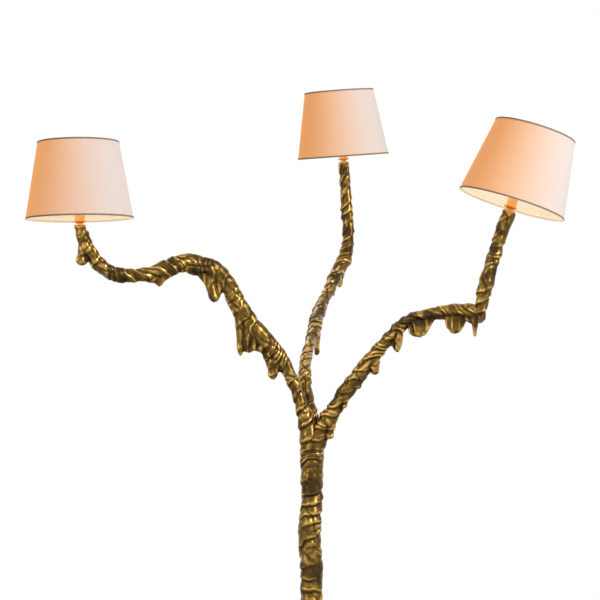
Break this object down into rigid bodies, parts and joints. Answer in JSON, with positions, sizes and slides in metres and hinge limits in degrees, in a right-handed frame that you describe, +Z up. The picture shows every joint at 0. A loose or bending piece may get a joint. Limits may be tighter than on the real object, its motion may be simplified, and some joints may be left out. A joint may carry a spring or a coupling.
{
  "type": "tree floor lamp",
  "caption": "Tree-shaped floor lamp: a cast trunk on a poured foot divides into dripping branches that each carry a small tapered shade on a candle lampholder.",
  "frame": {"origin": "on the floor, on the axis of the trunk's bore, at the underside of the rubber sheet", "axes": "+Z up along the trunk, -Y towards the viewer of the picture, +X to the viewer's right"},
  "size_m": [1.3425, 1.0126, 1.8608],
  "materials": {
    "gilt_bronze": "cast bronze with a gilt patina, dark in the folds, worn bright on the ridges",
    "lacquered_brass": "turned brass, clear lacquer",
    "steel_tube": "plain turned steel",
    "steel_plate": "zinc plated steel",
    "ballast": "raw cast iron",
    "rubber": "matte rubber sheet",
    "black_plastic": "satin moulded plastic",
    "white_plastic": "satin moulded plastic",
    "wire_sheath": "clear sheath over a gold core",
    "candle_cream": "cream candle sleeve, warm from the lamp",
    "contact_brass": "bright pressed brass",
    "nickel_cap": "nickelled screw cap",
    "frosted_glass": "frosted warm glass",
    "filament": "coated filament rods on a glass stem",
    "white_wire": "white powder coat",
    "shade_fabric": "cream cloth laminated on a translucent liner",
    "shade_trim": "taupe folded tape"
  },
  "bodies": {
    "stand": {"foot": "gilt_bronze", "ballast_ring": "ballast", "base_plate": "steel_plate", "plate_screws": "steel_plate", "floor_pad": "rubber", "inlet_bush": "black_plastic", "terminal_block": "white_plastic", "trunk_lower": "gilt_bronze", "trunk_upper": "gilt_bronze", "trunk_couplers": "steel_tube", "grub_screws": "steel_tube", "crown": "gilt_bronze", "branch_left": "gilt_bronze", "branch_centre": "gilt_bronze", "branch_right": "gilt_bronze", "riser_right": "gilt_bronze", "branch_dowels": "steel_tube", "lamp_wires": "wire_sheath", "tip_collars": "lacquered_brass", "nipples": "steel_tube", "drip_pan_left": "lacquered_brass", "candle_sleeve_left": "candle_cream", "lampholder_left": "white_plastic", "holder_contacts_left": "contact_brass", "drip_pan_centre": "lacquered_brass", "candle_sleeve_centre": "candle_cream", "lampholder_centre": "white_plastic", "holder_contacts_centre": "contact_brass", "drip_pan_right": "lacquered_brass", "candle_sleeve_right": "candle_cream", "lampholder_right": "white_plastic", "holder_contacts_right": "contact_brass"},
    "shade_left": {"shade_spider_left": "white_wire", "shade_lower_ring_left": "white_wire", "shade_cover_left": "shade_fabric", "shade_trims_left": "shade_trim"},
    "ring_left": {"retaining_ring_left": "white_plastic"},
    "bulb_left": {"bulb_glass_left": "frosted_glass", "bulb_filaments_left": "filament", "bulb_cap_left": "nickel_cap"},
    "shade_centre": {"shade_spider_centre": "white_wire", "shade_lower_ring_centre": "white_wire", "shade_cover_centre": "shade_fabric", "shade_trims_centre": "shade_trim"},
    "ring_centre": {"retaining_ring_centre": "white_plastic"},
    "bulb_centre": {"bulb_glass_centre": "frosted_glass", "bulb_filaments_centre": "filament", "bulb_cap_centre": "nickel_cap"},
    "shade_right": {"shade_spider_right": "white_wire", "shade_lower_ring_right": "white_wire", "shade_cover_right": "shade_fabric", "shade_trims_right": "shade_trim"},
    "ring_right": {"retaining_ring_right": "white_plastic"},
    "bulb_right": {"bulb_glass_right": "frosted_glass", "bulb_filaments_right": "filament", "bulb_cap_right": "nickel_cap"}
  },
  "joints": [
    {"name": "shade_turn_left", "type": "hinge", "parent": "stand", "child": "shade_left", "pos_m": [-0.57176, -0.19, 1.49698], "axis": [-0.0209, 0, 0.9998], "continuous": true},
    {"name": "ring_turn_left", "type": "hinge", "parent": "stand", "child": "ring_left", "pos_m": [-0.57184, -0.19, 1.50098], "axis": [-0.0209, 0, 0.9998], "continuous": true},
    {"name": "bulb_turn_left", "type": "hinge", "parent": "stand", "child": "bulb_left", "pos_m": [-0.57188, -0.19, 1.50298], "axis": [-0.0209, 0, 0.9998], "continuous": true},
    {"name": "shade_turn_centre", "type": "hinge", "parent": "stand", "child": "shade_centre", "pos_m": [0.09303, 0.50024, 1.72633], "axis": [-0.0711, -0.1043, 0.992], "continuous": true},
    {"name": "ring_turn_centre", "type": "hinge", "parent": "stand", "child": "ring_centre", "pos_m": [0.09274, 0.49983, 1.7303], "axis": [-0.0711, -0.1043, 0.992], "continuous": true},
    {"name": "bulb_turn_centre", "type": "hinge", "parent": "stand", "child": "bulb_centre", "pos_m": [0.0926, 0.49962, 1.73228], "axis": [-0.0711, -0.1043, 0.992], "continuous": true},
    {"name": "shade_turn_right", "type": "hinge", "parent": "stand", "child": "shade_right", "pos_m": [0.50596, -0.24, 1.52489], "axis": [0.309, 0, 0.9511], "continuous": true},
    {"name": "ring_turn_right", "type": "hinge", "parent": "stand", "child": "ring_right", "pos_m": [0.50719, -0.24, 1.52869], "axis": [0.309, 0, 0.9511], "continuous": true},
    {"name": "bulb_turn_right", "type": "hinge", "parent": "stand", "child": "bulb_right", "pos_m": [0.50781, -0.24, 1.53059], "axis": [0.309, 0, 0.9511], "continuous": true}
  ]
}
